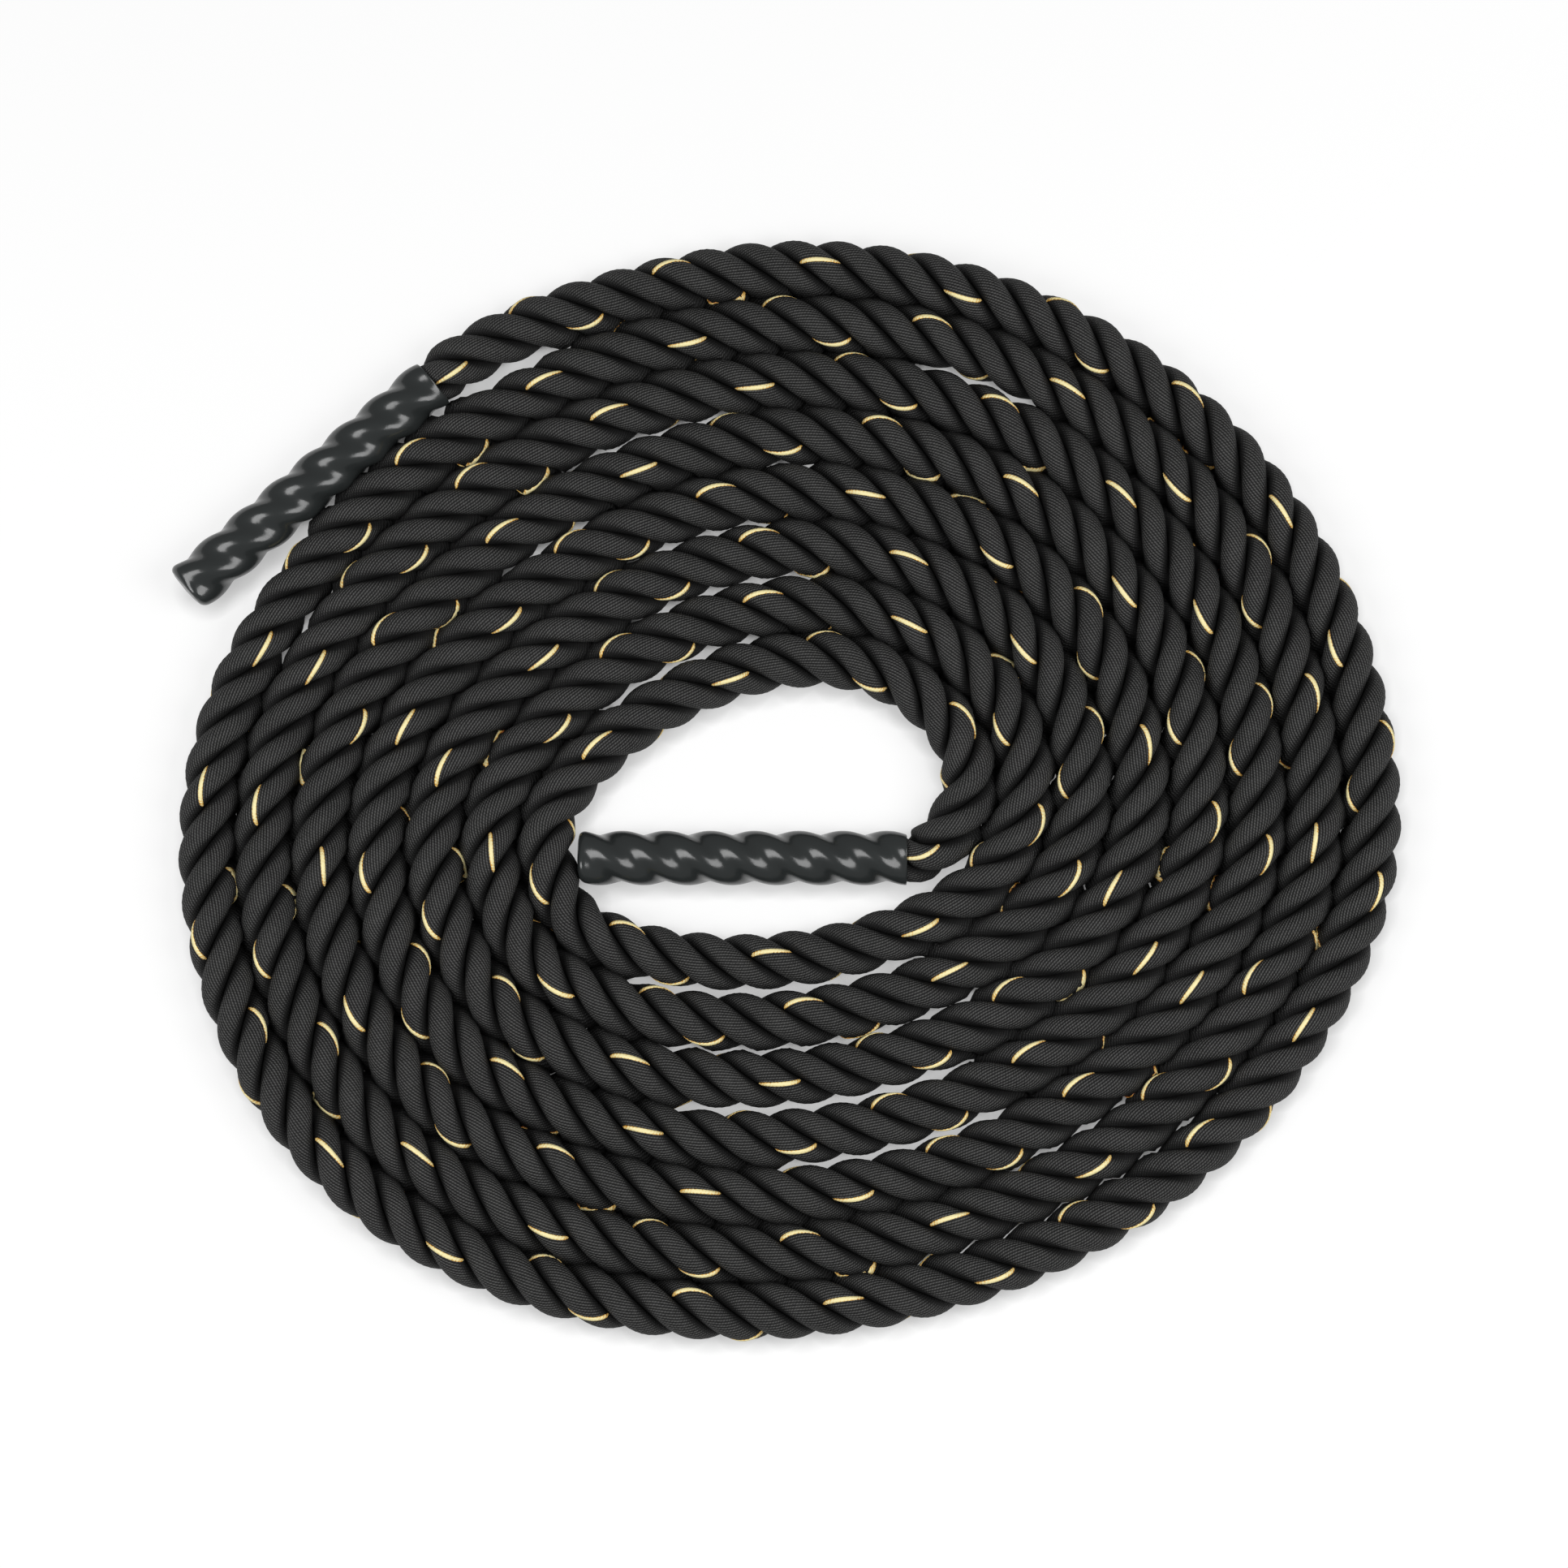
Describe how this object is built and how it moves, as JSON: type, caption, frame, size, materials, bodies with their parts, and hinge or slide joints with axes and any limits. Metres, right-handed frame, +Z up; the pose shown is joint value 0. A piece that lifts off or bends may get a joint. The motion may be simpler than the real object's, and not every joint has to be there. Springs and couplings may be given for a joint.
{
  "type": "battle rope",
  "caption": "Thick black laid training rope, lying in a flat oval coil, with a ribbed shrink-sleeve grip on each end, one inside the coil and one beside it.",
  "frame": {"origin": "middle of the rope's extents, on the floor that it lies on", "axes": "+Z up from the floor, +X along the oval's long side with the inner grip's mouth towards it, +Y towards the side where the outer grip starts"},
  "size_m": [0.8474, 0.763, 0.0378],
  "materials": {
    "black_polyester": "matt",
    "shrunk_sleeve_black": "satin",
    "binding_tape_black": "matt"
  },
  "bodies": {
    "root": {"rope_coil": "black_polyester", "rope_lead": "black_polyester", "inner_grip_sleeve": "shrunk_sleeve_black", "inner_end_tape": "binding_tape_black", "inner_strand_end_1": "black_polyester", "inner_strand_end_2": "black_polyester", "inner_strand_end_3": "black_polyester", "outer_grip_sleeve": "shrunk_sleeve_black", "outer_end_tape": "binding_tape_black", "outer_strand_end_1": "black_polyester", "outer_strand_end_2": "black_polyester", "outer_strand_end_3": "black_polyester"}
  },
  "joints": []
}
